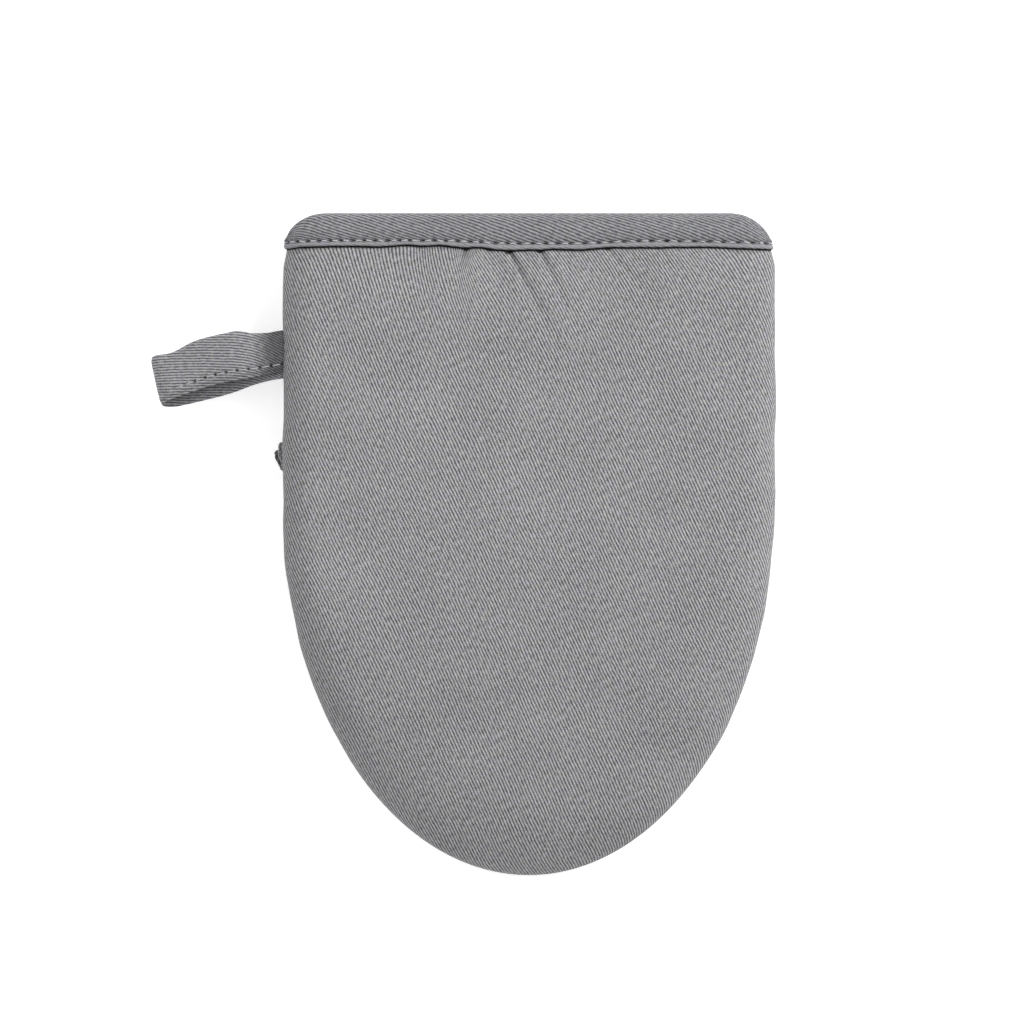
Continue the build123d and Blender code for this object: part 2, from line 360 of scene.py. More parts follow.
def panel_rows(panel, rear_y, k, count, extra):
    """Rows of y from the rear to the tip, closer together round the tip."""
    tip_y = panel.ellipse_y - panel.depth + k
    straight = max(rear_y - panel.ellipse_y, 0.0)
    depth = panel.ellipse_y - tip_y
    start = math.asin(max(min((panel.ellipse_y - rear_y) / depth, 1.0), 0.0))
    arc = (math.pi / 2 - start) * (depth + panel.half) / 2
    on_straight = max(int(count * straight / (straight + arc)), 1 if straight else 0)
    rows = []
    if straight:
        rows = list(np.linspace(rear_y, panel.ellipse_y, on_straight, endpoint=False))
    turn = np.linspace(start, math.pi / 2, count - on_straight)
    rows += list(panel.ellipse_y - depth * np.sin(turn))
    return np.unique(np.round(np.concatenate([rows, extra]), 7))[::-1]


def cloth_uv(co, angle, gathered):
    """Flat cloth coordinates of a grid, turned so that the ribs run along V."""
    mid = co.shape[1] // 2
    step = norm(np.diff(co, axis=1), axis=2)
    along = np.concatenate([np.zeros((len(co), 1)), np.cumsum(step, 1)], 1)
    across = along - along[:, mid : mid + 1]
    down = norm(np.diff(co[:, mid], axis=0), axis=1)
    length = run_length(down)[:, None] + 0 * across
    if gathered:
        below = np.maximum(BAND_Y - co[..., 1], 0.0)
        across = across + np.interp(co[..., 0], LINE_X, DRIFT_LINE) * np.exp(-below / DRIFT_FADE)
    c, s = math.cos(angle), math.sin(angle)
    return np.stack([across * s - length * c, across * c + length * s], -1)


def panel_grid(panel, rows, columns, k, relief=None):
    u = np.linspace(-1, 1, columns)
    y = rows[:, None] + 0 * u[None]
    x = panel.width(rows, k)[:, None] * np.sin(math.pi / 2 * u)[None]
    z = panel.height(x, y, k)
    if relief is not None:
        z = z + relief(x, y, panel, k)
    z = np.maximum(z, k)
    past = np.maximum(y - BAND_Y, 0.0)
    rim = rim_height(HALF * np.sin(math.pi / 2 * u))[None]
    room = (rim - 0.0013 - BAND_Y) / (RIM_Y - BAND_Y)
    co = np.stack([x, y - past * (1 - room), z], -1)
    if panel.settled is not None:
        co = co + panel.settled(u[None] + 0 * y, y)
    return co


def spline_weights(t):
    """Cubic B-spline weights of the four points round a place."""
    t2, t3 = t * t, t * t * t
    return (
        (1 - 3 * t + 3 * t2 - t3) / 6,
        (4 - 6 * t2 + 3 * t3) / 6,
        (1 + 3 * t + 3 * t2 - 3 * t3) / 6,
        t3 / 6,
    )


def smooth_field(values, rows, columns):
    """A smooth function of u and y through a coarse grid of moves."""
    order = np.argsort(rows)

    def field(u, y):
        r = np.interp(y, rows[order], order.astype(float))
        c = (u + 1) / 2 * (columns - 1)
        r0, c0 = np.floor(r).astype(int), np.floor(c).astype(int)
        wr, wc = spline_weights(r - r0), spline_weights(c - c0)
        total = np.zeros((*r.shape, 3))
        for i in range(4):
            a = np.clip(r0 + i - 1, 0, len(rows) - 1)
            for j in range(4):
                b = np.clip(c0 + j - 1, 0, columns - 1)
                total += (wr[i] * wc[j])[..., None] * values[a, b]
        return total

    return field


# shrink_min below zero is cloth that is too big for its seam
CLOTH_SETTINGS = {
    "quality": 8, "mass": 0.25, "tension_stiffness": 20, "compression_stiffness": 20,
    "shear_stiffness": 8, "bending_stiffness": 1.2, "vertex_group_mass": "held",
    "shrink_min": -0.014, "use_pressure": True, "uniform_pressure_force": 0.6,
}
CLOTH_FRAMES = 20
COARSE_ROWS, COARSE_COLUMNS = 66, 53


def settle(panel, rear_y, held_above, cap, low, high):
    """Let a padded panel's cloth, a little too big for its seam, swell and buckle.

    A coarse grid of cloth, held round its seam and above a given y, finds the
    moves that every ply takes: capped in length, and from low to high in z.
    """
    rows = panel_rows(panel, rear_y, 0.0, COARSE_ROWS, ())
    columns = COARSE_COLUMNS
    start = panel_grid(panel, rows, columns, 0.0)
    outward = np.sign(panel.face(0.0) - panel.seam(0.0))
    start[..., 2] += 0.0004 * outward * lumps(start[..., 0], start[..., 1])
    mesh = bpy.data.meshes.new("settling")
    mesh.from_pydata(start.reshape(-1, 3).tolist(), [], grid_faces(len(rows), columns).tolist())
    obj = add_object("settling", mesh)
    held = np.zeros(start.shape[:2], bool)
    held[:, :2] = held[:, -2:] = held[-2:] = held[:1] = True
    held |= start[..., 1] > held_above
    group = obj.vertex_groups.new(name="held")
    group.add(np.nonzero(held.ravel())[0].tolist(), 1.0, "REPLACE")
    cloth = obj.modifiers.new("cloth", "CLOTH")
    for key, value in CLOTH_SETTINGS.items():
        setattr(cloth.settings, key, value)
    cloth.settings.effector_weights.gravity = 0.0
    cloth.point_cache.frame_start = 1
    cloth.point_cache.frame_end = CLOTH_FRAMES
    for number in range(1, CLOTH_FRAMES + 1):
        scene.frame_set(number)
    found = obj.evaluated_get(bpy.context.evaluated_depsgraph_get()).data
    co = np.zeros(len(found.vertices) * 3)
    found.vertices.foreach_get("co", co)
    moves = np.nan_to_num(co.reshape(start.shape) - start)
    bpy.data.objects.remove(obj)
    bpy.data.meshes.remove(mesh)
    scene.frame_set(1)
    length = norm(moves, axis=2)
    moves *= np.minimum(1.0, cap / np.maximum(length, 1e-9))[..., None]
    moves[..., 2] = np.clip(moves[..., 2], low, high)
    panel.settled = smooth_field(moves, rows, columns)


def ply(name, panel, rear_y, depths, material, angle, relief, shade, count, columns, extra):
    """One ply of a panel as a closed thin mesh, between two depths in the wall."""
    outer_k, inner_k = depths
    count, columns = int(count * FINE), int(columns * FINE)
    rows = panel_rows(panel, rear_y, outer_k, count, extra)
    tip_y = panel.ellipse_y - panel.depth + outer_k
    past = smooth(panel.ellipse_y - rows, 0.0, panel.ellipse_y - tip_y)
    inner_rows = rows + (inner_k - outer_k) * past
    outer = panel_grid(panel, rows, columns, outer_k, relief)
    inner = panel_grid(panel, inner_rows, columns, inner_k, relief)
    uv = cloth_uv(panel_grid(panel, rows, columns, outer_k), angle, panel is back_panel)
    value = np.ones(outer.shape[:2])
    if shade is not None:
        value = shade(outer[..., 0], outer[..., 1])
    return closed_sheet(name, outer, inner, uv, value, material)


def tube(path, radius, sides):
    """Rings of a thread along a path of points, tapering into its ends."""
    tangent = np.gradient(path, axis=0)
    tangent /= norm(tangent, axis=1)[:, None]
    level = (0.0, 0.0, 1.0) if abs(tangent[0][2]) < 0.9 else (1.0, 0.0, 0.0)
    one = np.cross(tangent, level)
    one /= norm(one, axis=1)[:, None]
    two = np.cross(tangent, one)
    t = np.linspace(-1, 1, len(path))
    size = radius * np.sqrt(np.maximum(1 - t**6, 0.02))
    turn = np.linspace(0, math.tau, sides, endpoint=False)[None, :, None]
    ring = np.cos(turn) * one[:, None] + np.sin(turn) * two[:, None]
    return path[:, None] + ring * size[:, None, None]


def threads(name, paths, radius, sides):
    """Many short stitches as one object."""
    co, faces, uv, start = [], [], [], 0
    for path in paths:
        rings = tube(path, radius, sides)
        rows = len(rings)
        co.append(rings)
        faces += tube_faces(rows, sides, start)
        length = np.linspace(0, rows * 0.0003, rows)[:, None]
        around = np.linspace(0, 0.0016, sides)[None]
        uv.append(np.stack([around + 0 * length, length + 0 * around], -1))
        start += rows * sides
    return new_mesh(name, co, faces, uv, np.ones(start), thread)


# --- materials
def socket(node, name, value):
    node.inputs[name].default_value = value


class Nodes:
    """Short spelling for building a node tree."""

    def __init__(self, name):
        self.material = bpy.data.materials.new(name)
        self.material.use_nodes = True
        self.tree = self.material.node_tree
        self.shader = self.tree.nodes["Principled BSDF"]

    def add(self, kind, **values):
        node = self.tree.nodes.new(kind)
        for key, value in values.items():
            setattr(node, key, value)
        return node

    def link(self, source, target):
        self.tree.links.new(source, target)

    def math(self, operation, a, b=None, c=None):
        node = self.add("ShaderNodeMath", operation=operation)
        for i, value in enumerate((a, b, c)):
            if isinstance(value, (int, float)):
                node.inputs[i].default_value = value
            elif value is not None:
                self.link(value, node.inputs[i])
        return node.outputs[0]

    def noise(self, vector, scale, detail, roughness=0.5):
        node = self.add("ShaderNodeTexNoise")
        socket(node, "Scale", scale)
        socket(node, "Detail", detail)
        socket(node, "Roughness", roughness)
        self.link(vector, node.inputs["Vector"])
        return node.outputs["Fac"]

    def streaks(self, vector, across, along, detail, roughness=0.5):
        """Noise with its own scale across the ribs and along them."""
        node = self.add("ShaderNodeVectorMath", operation="MULTIPLY")
        self.link(vector, node.inputs[0])
        node.inputs[1].default_value = (across, along, 1.0)
        return self.noise(node.outputs[0], 1.0, detail, roughness)

    def mix(self, factor, a, b):
        node = self.add("ShaderNodeMix", data_type="RGBA")
        self.link(factor, node.inputs["Factor"])
        # its colour sockets are inputs 6 and 7 and output 2
        for found, value in zip(node.inputs[6:8], (a, b)):
            if isinstance(value, tuple):
                found.default_value = (*value, 1.0)
            else:
                self.link(value, found)
        return node.outputs[2]

    def swing(self, value, amount, base=0.0):
        """A value from 0 to 1, as a swing to each side of a base."""
        return self.math("MULTIPLY_ADD", self.math("SUBTRACT", value, 0.5), amount, base)

    def wave(self, kind, value, turns=1.0):
        """A sine or cosine, moved to lie between 0 and 1."""
        angle = self.math("MULTIPLY", value, turns * math.tau)
        return self.math("MULTIPLY_ADD", self.math(kind, angle), 0.5, 0.5)

    def clamp(self, value):
        node = self.add("ShaderNodeClamp")
        self.link(value, node.inputs[0])
        return node.outputs[0]

    def cloth(self):
        """Cloth coordinates: the vector, and its parts across and along the ribs."""
        uv = self.add("ShaderNodeUVMap", uv_map="cloth").outputs[0]
        parts = self.add("ShaderNodeSeparateXYZ")
        self.link(uv, parts.inputs[0])
        return uv, parts.outputs[0], parts.outputs[1]

    def finish(self, colour, rough, specular):
        self.link(colour, self.shader.inputs["Base Color"])
        socket(self.shader, "Roughness", rough)
        socket(self.shader, "Specular IOR Level", specular)
        return self.material

    def bump(self, height, strength, distance):
        relief = self.add("ShaderNodeBump")
        socket(relief, "Strength", strength)
        socket(relief, "Distance", distance)
        self.link(height, relief.inputs["Height"])
        self.link(relief.outputs[0], self.shader.inputs["Normal"])


RIB_WOBBLE = 0.00013
RIB_DEPTH = 0.00012
FLOAT_LENGTH = 0.00095


def twill_material(name, light, dark, pitch):
    """Cotton twill: diagonal ribs of fine yarn floats, slightly uneven.

    The shade value is painted shade below 1 and darkens the cloth; above 1 it is
    a painted highlight that brightens it and flattens the ribs.
    """
    n = Nodes(name)
    uv, across, along = n.cloth()
    warp = n.noise(uv, 95.0, 2.0)
    fine_warp = n.streaks(uv, 900.0, 260.0, 1.0)
    drift = n.noise(uv, 13.0, 1.0)
    moved = n.swing(warp, RIB_WOBBLE * 5, across)
    moved = n.swing(drift, 0.0035, moved)
    moved = n.swing(fine_warp, RIB_WOBBLE * 0.9, moved)
    phase = n.math("MULTIPLY", moved, 1 / pitch)
    rib = n.wave("COSINE", phase)
    row = n.math("ROUND", phase)
    float_at = n.math("MULTIPLY_ADD", row, 0.37, n.math("MULTIPLY", along, 1 / FLOAT_LENGTH))
    knuckle = n.wave("COSINE", float_at)
    knuckle = n.math("MULTIPLY_ADD", knuckle, 0.22, 0.78)
    body = n.math("MULTIPLY", n.math("POWER", rib, 0.85), knuckle)
    slub = n.swing(n.streaks(uv, 1500.0, 620.0, 2.0, 0.65), 1.5)
    cloud = n.swing(n.noise(uv, 42.0, 3.0), 0.22)
    tone = n.math("ADD", n.math("ADD", body, slub), cloud)
    shade = n.add("ShaderNodeAttribute", attribute_name="shade").outputs["Fac"]
    flat = n.math("MULTIPLY", n.math("MAXIMUM", n.math("SUBTRACT", shade, 1.0), 0.0), 3.4)
    tone = n.math("MULTIPLY_ADD", n.math("SUBTRACT", 0.6, tone), flat, tone)
    hue = n.swing(n.streaks(uv, 260.0, 620.0, 1.0), 3.0, 0.5)
    cool = tuple(c * t for c, t in zip(light, (0.985, 0.985, 1.045)))
    warm = tuple(c * t for c, t in zip(light, (1.015, 1.015, 0.965)))
    colour = n.mix(n.clamp(tone), dark, n.mix(hue, cool, warm))
    darkened = n.add("ShaderNodeVectorMath", operation="SCALE")
    n.link(colour, darkened.inputs[0])
    n.link(shade, darkened.inputs["Scale"])
    n.bump(n.math("ADD", body, n.math("MULTIPLY", slub, 0.5)), 0.75, RIB_DEPTH)
    socket(n.shader, "Sheen Weight", 0.06)
    socket(n.shader, "Sheen Roughness", 0.6)
    return n.finish(darkened.outputs[0], 0.92, 0.18)


def plain_weave_material(name, light, dark, pitch):
    """Lining cloth: a fine plain weave."""
    n = Nodes(name)
    uv, across, along = n.cloth()
    one = n.math("SINE", n.math("MULTIPLY", across, math.tau / pitch))
    two = n.math("SINE", n.math("MULTIPLY", along, math.tau / pitch))
    weave = n.math("MULTIPLY_ADD", n.math("MULTIPLY", one, two), 0.5, 0.5)
    cloud = n.swing(n.noise(uv, 120.0, 4.0), 0.6)
    n.bump(weave, 0.5, 0.0001)
    return n.finish(n.mix(n.clamp(n.math("ADD", weave, cloud)), dark, light), 0.9, 0.2)


def fibre_material(name, light, dark):
    """Wadding: matted fibre."""
    n = Nodes(name)
    place = n.add("ShaderNodeTexCoord").outputs["Object"]
    fuzz = n.noise(place, 900.0, 5.0, 0.7)
    n.bump(fuzz, 0.8, 0.0004)
    return n.finish(n.mix(fuzz, dark, light), 1.0, 0.1)


def thread_material(name, light, dark):
    """Plied sewing thread: a fast diagonal twist round the strand."""
    n = Nodes(name)
    _, across, along = n.cloth()
    turn = n.math("ADD", across, n.math("MULTIPLY", along, 1.6))
    twist = n.wave("SINE", turn, 1 / 0.0008)
    n.bump(twist, 0.5, 0.00008)
    return n.finish(n.mix(twist, dark, light), 0.6, 0.5)


# Lighter and darker tones of each material, and the pitch of its ribs or threads
cover_twill = twill_material("cover_twill", (0.41, 0.41, 0.419), (0.064, 0.064, 0.067), 0.000975)
# The band's twill is the cover's cloth set darker: painted shade for how the band and its ribs face
# the light
band_twill = twill_material("band_twill", (0.31, 0.31, 0.325), (0.055, 0.055, 0.06), 0.00088)
loop_twill = twill_material("loop_twill", (0.385, 0.385, 0.398), (0.072, 0.072, 0.078), 0.00087)
lining = plain_weave_material("lining_weave", (0.24, 0.24, 0.25), (0.11, 0.11, 0.117), 0.0008)
wadding = fibre_material("wadding_fibre", (0.66, 0.65, 0.62), (0.42, 0.41, 0.38))
thread = thread_material("sewing_thread", (0.52, 0.52, 0.54), (0.28, 0.28, 0.3))


# --- the panels
# Creases that fan down from the binding where the cloth is gathered into it:
# (x at the band, drift of x per metre down, length, depth, width)
GATHERS = [
    (-0.0203, -0.3, 0.0075, 0.001, 0.0011),
    (-0.0066, 0.5, 0.019, 0.0013, 0.001),
    (0.0035, 0.46, 0.017, 0.001, 0.0011),
    (0.0256, 0.8, 0.01, 0.0006, 0.0012),
    (-0.013, 0.1, 0.008, 0.0005, 0.0013),
    (-0.0355, 0.1, 0.006, 0.0003, 0.0016),
    (-0.056, -0.1, 0.006, 0.0003, 0.0015),
    (0.042, 0.55, 0.008, 0.0004, 0.0016),
    (0.06, 0.4, 0.006, 0.0003, 0.0016),
]


# A crease and the fuller cloth to each side of it: height, place and width
GATHER_SECTION = [(-1.0, 0.0, 0.7), (0.5, -2.4, 1.9), (0.3, 2.6, 1.8)]


def gather_relief(x, y):
    """Creases and the fuller cloth between them, fading away from the binding."""
    down = np.maximum(BAND_Y - y, 0.0)
    total = 0.0 * x
    for start, drift, length, depth, width in GATHERS:
        centre = start + drift * down
        wide = width * (0.75 + down / length)
        fade = np.exp(-((down / length) ** 1.4))
        for rise, aside, spread in GATHER_SECTION:
            total = total + rise * depth * bump(x, centre + aside * wide, spread * wide) * fade
    return total * smooth(y, BAND_Y + 0.004, BAND_Y + 0.001)


PUCKER_DEPTH, PUCKER_PITCH, PUCKER_REACH = 0.00022, 0.0062, 0.0035


def seam_pucker(inward, along):
    """Small tucks where a side seam's stitches pull the cloth in."""
    tuck = 0.5 + 0.5 * np.sin(along * math.tau / PUCKER_PITCH + 2 * np.sin(along * 90))
    return -PUCKER_DEPTH * tuck * np.exp(-inward / PUCKER_REACH)


def outer_relief(lump, gathers=False):
    """How a panel's face stands out from its smooth shape, as a function of place."""

    def relief(x, y, panel, k):
        beyond = panel.beyond(y, k)
        inward = np.maximum(panel.half - k - np.hypot(x, beyond), 0.0)
        side = np.sign(panel.face(y) - panel.seam(y))
        inside = smooth(inward, 0.0, 0.01)
        along = np.arctan2(beyond, np.abs(x)) * 0.1 + np.abs(y)
        total = lump * lumps(x, y) * inside + 0.00007 * ripples(x, y) * inside
        total = total + seam_pucker(inward, along) * smooth(inward, 0.0, 0.002)
        total = total * smooth(y, BAND_Y + 0.006, BAND_Y + 0.002)
        if gathers:
            groove = 0.001 * bump(y, band_edge(x) + 0.0004, 0.0012)
            total = total + gather_relief(x, y) * smooth(inward, 0.001, 0.008)
            total = total - groove * smooth(inward, 0.0, 0.004)
        return side * total

    return relief


def back_shade(x, y):
    """Shadow held in the groove under the band, in its creases and round the far edge."""
    notch = sum(depth * bump(x, start, 0.0011) for start, _, _, depth, _ in GATHERS[:5])
    shadow = band_edge(x) - 0.62 * notch
    down = np.maximum(BAND_Y - y, 0.0)
    value = 1 - 0.96 * smooth(y, shadow - 0.00068, shadow - 0.00038)
    inward = HALF - np.hypot(x, back_panel.beyond(y, 0.0))
    far_side = np.clip(smooth(x, 0.03, -0.04) + smooth(y, -0.07, -0.1), 0.0, 1.0)
    reach = 0.032 - 0.021 * smooth(y, -0.05, -0.015)
    value = value * (1 - 0.085 * far_side * smooth(inward, reach, 0.004))
    for start, drift, length, depth, width in GATHERS[:4]:
        fade = np.exp(-((down / (length * 0.5)) ** 1.2))
        wide = 0.0004 + 0.35 * width * np.exp(-down / 0.0015)
        value = value * (1 - 520 * depth * fade * bump(x, start + drift * down, wide))
    return np.clip(value, 0.03, 1.0)


BODY_ANGLE = math.radians(65.2)
# Depths of the wadding and the lining in the wall
WADDING = (0.00075, 0.00405)
LINING = (0.0041, WALL)


def crease_rows(step):
    """Rows of y that are close together where the palm drops to the thumb jaw."""
    return np.arange(CREASE_Y - 0.001, CREASE_Y + 0.005, step)


# Rows that are close together over the gathers, and closer in the band's groove
gather_rows = np.concatenate([
    np.arange(BAND_Y - 0.022, BAND_Y + 0.003, 0.0005),
    np.arange(BAND_Y - 0.002, BAND_Y + 0.0012, 0.00015),
])

FINGER_REAR = CREASE_Y + 0.0048
THUMB_REAR = CREASE_Y - 0.0004
settle(back_panel, RIM_Y, BAND_Y - 0.0015, 0.0016, -0.0012, 0.0014)
settle(finger_panel, CREASE_Y, CREASE_Y - 0.003, 0.001, 0.0, 0.0007)
settle(palm_panel, RIM_Y, BAND_Y - 0.0015, 0.001, 0.0, 0.0006)
settle(thumb_panel, THUMB_REAR, CREASE_Y - 0.003, 0.001, -0.0007, 0.0)

# Name, panel, rear end of its cover and of the plies under it, angle of the ribs,
# height of the lumps, shading, and the cover's rows and columns
PANELS = [
    ("back", back_panel, RIM_Y, RIM_Y, BODY_ANGLE, 0.00035, back_shade, 300, 360),
    ("finger_grip", finger_panel, FINGER_REAR, CREASE_Y, -BODY_ANGLE, 0.00035, None, 150, 170),
    ("palm", palm_panel, RIM_Y, RIM_Y, -BODY_ANGLE, 0.00035, None, 170, 170),
    ("thumb_grip", thumb_panel, CREASE_Y + 0.0006, THUMB_REAR, BODY_ANGLE, 0.00025, None, 110, 150),
]
# Rows added to a panel's cover, and to the plies under it
ADDED_ROWS = {
    "back": (gather_rows, gather_rows[::2]),
    "palm": (crease_rows(0.0003), crease_rows(0.0005)),
}


def sunk_under_gathers(relief):
    """The back wadding keeps clear of the sharp creases in its cover."""

    def sunk(x, y, panel, k):
        near = smooth(y, BAND_Y - 0.022, BAND_Y - 0.013) * smooth(np.abs(x), 0.055, 0.042)
        return relief(x, y, panel, k) - (0.001 * near if k == WADDING[0] else 0.0)

    return sunk


covers, waddings, linings = {}, {}, {}
for name, panel, rear, inner_rear, angle, lump, shading, rows, columns in PANELS:
    extra, inner_extra = ADDED_ROWS.get(name, ((), ()))
    relief = outer_relief(lump, gathers=name == "back")
    sunk = sunk_under_gathers(relief) if name == "back" else relief
    covers[name] = ply(
        f"{name}_cover", panel, rear, (0.0, CLOTH), cover_twill, angle,
        relief, shading, rows, columns, extra,
    )
    waddings[name] = ply(
        f"{name}_batt", panel, inner_rear, WADDING, wadding, 0.0,
        sunk, None, 120, 130, inner_extra,
    )
    linings[name] = ply(
        f"{name}_lining_cloth", panel, inner_rear, LINING, lining, 0.0,
        relief, None, 110, 110, inner_extra,
    )


# --- the binding
def mouth_loop(u, side, k, y):
    """Points of the mouth's section at y, drawn in by k; side is 1 above, -1 below."""
    half = HALF - k - pinch(y)
    x = half * np.sin(math.pi / 2 * u)
    t = np.clip((half - np.abs(x)) / (EDGE - k), 0.0, 1.0)
    rise = (back_face(y) - SEAM_Z - k) if side > 0 else (SEAM_Z - CUFF_Z - k)
    z = SEAM_Z + side * rise * np.sqrt(np.maximum(1 - (1 - t) ** 2, 0.0))
    return x, z


def mouth_section(u, side, depth, y):
    """x and z of points all round the mouth."""
    x, z = np.zeros(len(u)), np.zeros(len(u))
    for s in (1, -1):
        pick = side == s
        x[pick], z[pick] = mouth_loop(u[pick], s, depth[pick], y[pick])
    return x, z


def even_loop(count):
    """Values of u and side spaced evenly round the mouth, and their arc length."""
    u = np.concatenate([np.linspace(1, -1, 1500), np.linspace(-1, 1, 1500)[1:]])
    side = np.concatenate([np.ones(1500), -np.ones(1499)])
    x, z = mouth_section(u, side, -0.0008 + 0 * u, BAND_Y + STITCH_AT + 0 * u)
    length = run_length(np.hypot(np.diff(x), np.diff(z)))
    want = np.linspace(0, length[-1], count, endpoint=False)
    place = np.interp(want, length, np.arange(len(u)))
    low = np.floor(place).astype(int)
    part = place - low
    even_u = u[low] * (1 - part) + u[low + 1] * part
    return even_u, side[np.minimum(low + 1, len(u) - 1)], want, length[-1]


STITCH_PITCH = 0.00413
# The band's profile. OUTSIDE and HEM: height above the lower edge, and depth below
# the wall's outer face, in mm. SWELL and INSIDE: share of the way up, and depth
BAND_OUTSIDE = mm([
    (0.6, 0.6), (0.1, 0.2), (0, -0.3), (0.25, -0.8), (0.7, -1), (1.1, -1), (1.4, -0.8),
    (1.7, -0.6), (1.9, -0.5), (2.1, -0.6), (2.4, -0.8),
])
BAND_SWELL = [
    (0.08, -0.001), (0.2, -0.0012), (0.4, -0.0014), (0.6, -0.0014), (0.8, -0.0012),
    (0.95, -0.0009),
]
BAND_INSIDE = [(0.9, 0.0053), (0.6, 0.0055), (0.3, 0.0055), (0.1, 0.0052)]
BAND_HEM = mm([
    (2.4, 5), (1.9, 4.7), (1.3, 5), (0.4, 4.9), (0.2, 4),
])
BAND_PROUD = 0.0007
BAND_ANGLE = math.radians(18.5)
THREAD_RADIUS = 0.00027


def band_rows(edge, line, rim):
    """Rows of y and depth from hem to hem, over the rim."""
    low = line + 0.0005
    roll = np.clip(rim - low - 0.0001, 0.0004, 0.003)
    high = rim - roll

    def above(up):
        return edge + np.minimum(up / STITCH_AT, 1.0) * (line - edge) + max(up - STITCH_AT, 0.0)

    rows = [(above(up), k + 0 * edge) for up, k in BAND_OUTSIDE]
    room = np.clip((high - low) / 0.004, 0.0, 1.0)
    for share, k in BAND_SWELL:
        rows.append((low + (high - low) * share, room * (k + BAND_PROUD) - BAND_PROUD))
    for turn in np.linspace(0, math.pi, 11):
        depth = 0.0022 - 0.0031 * math.cos(turn)
        rows.append((high + roll * math.sin(turn), depth + 0 * edge))
    rows += [(low + (high - low) * share, k + 0 * edge) for share, k in BAND_INSIDE]
    rows += [(above(up), k + 0 * edge) for up, k in BAND_HEM]
    return rows


def mouth_points(u, side, depth, y):
    x, z = mouth_section(u, side, depth, y)
    return np.stack([x, y, np.maximum(z, 0.0001)], -1)


def holes_passed(u, side, at, total):
    """Needle holes passed so far round the mouth: uneven, and closer at the loop's side."""
    count = round(total / STITCH_PITCH)
    inward = np.cos(math.pi / 2 * u) ** 2
    uneven = 0.15 * ripples(at, 0 * at) - 1.6 * (side > 0)
    return at * count / total + inward * uneven, count


def make_binding():
    """The binding: one closed band, folded over the rim all the way round the mouth."""
    count = int(1500 * FINE)
    u, side, at, total = even_loop(count)
    phase = np.abs(np.mod(holes_passed(u, side, at, total)[0] + 0.5, 1.0) - 0.5)
    hole = np.exp(-((phase / 0.18) ** 4))
    pick = np.random.default_rng(23)
    base = HALF * np.sin(math.pi / 2 * u)
    edge, line = band_edge(base), stitch_line(base)
    rim = np.maximum(rim_height(base), line + 0.0011)
    grid, shade = [], []
    for y, depth in band_rows(edge, line, rim):
        outward = np.where(depth < 0.002, -1.0, 1.0)
        near = bump(y, line, 0.0006)
        swell = smooth(y, line + 0.0006, line + 0.004) * lumps(at * 0.7 + 0.3, y * 1.5)
        depth = depth - outward * near * (0.0001 + 0.0004 * hole) + 0.00022 * swell
        grid.append(mouth_points(u, side, depth, y))
        # Painted shadow in the needle holes and where the band turns under at its lower edge, and a
        # painted highlight on the lip below the stitches
        hole_shadow = bump(y, line, 0.00036) * hole
        under = 0.8 * bump(y, edge, 0.0003) * smooth(depth, -0.0008, -0.0002)
        lip = smooth(y, edge, edge + 0.0003) * smooth(y, line - 0.0002, line - 0.0006)
        lip = lip * (0.21 + pick.uniform(-0.09, 0.09, count))
        shade.append(np.clip((1 + lip) * (1 - 0.88 * hole_shadow - under), 0.05, 1.3))
    grid = np.stack(grid)
    step = norm(np.diff(grid, axis=0), axis=2).mean(1)
    down = run_length(step)[:, None] + 0 * at[None]
    around = at[None] + 0 * down
    c, s = math.cos(BAND_ANGLE), math.sin(BAND_ANGLE)
    uv = np.stack([down * c - around * s, around * c + down * s], -1)
    rows = len(grid)
    faces = grid_faces(rows, count, close=True).tolist()
    first = np.append(np.arange(count), 0)
    faces += strip_faces(first + (rows - 1) * count, first).tolist()
    return new_mesh("binding_band", grid, faces, uv, shade, band_twill)


binding = make_binding()


def band_stitches():
    """Topstitches through the binding, seen on the outside of the mouth."""
    u, side, at, total = even_loop(4000)
    passed, count = holes_passed(u, side, at, total)
    pick = np.random.default_rng(21)
    t = np.linspace(-1, 1, 9)
    paths = []
    for i in range(count):
        length = pick.uniform(0.0015, 0.0022)
        lean = pick.uniform(-0.00012, 0.0003)
        place = np.mod(np.interp(i + 0.5, passed, at) + t * length / 2, total)
        index = np.interp(place, at, np.arange(len(at)))
        uu = np.interp(index, np.arange(len(u)), u)
        ss = side[np.round(index).astype(int) % len(side)]
        y = stitch_line(HALF * np.sin(math.pi / 2 * uu)) + lean * t
        depth = -0.00075 + 0.00055 * np.abs(t) ** 4
        paths.append(np.maximum(mouth_points(uu, ss, depth, y), [-1.0, -1.0, 0.0003]))
    return threads("binding_stitches", paths, THREAD_RADIUS, 8)


topstitch = band_stitches()


# --- the hanging loop
def spline(points, t):
    """Catmull-Rom curve through points, spaced by their distance apart."""
    gap = norm(np.diff(points, axis=0), axis=1)
    knot = run_length(gap) / gap.sum()
    slope = np.gradient(points, knot, axis=0)
    i = np.clip(np.searchsorted(knot, t, side="right") - 1, 0, len(knot) - 2)
    h = (knot[i + 1] - knot[i])[:, None]
    s = ((t - knot[i]) / (knot[i + 1] - knot[i]))[:, None]
    a, b, m, n = points[i], points[i + 1], slope[i] * h, slope[i + 1] * h
    return (
        (2 * s**3 - 3 * s**2 + 1) * a
        + (s**3 - 2 * s**2 + s) * m
        + (3 * s**2 - 2 * s**3) * b
        + (s**3 - s**2) * n
    )


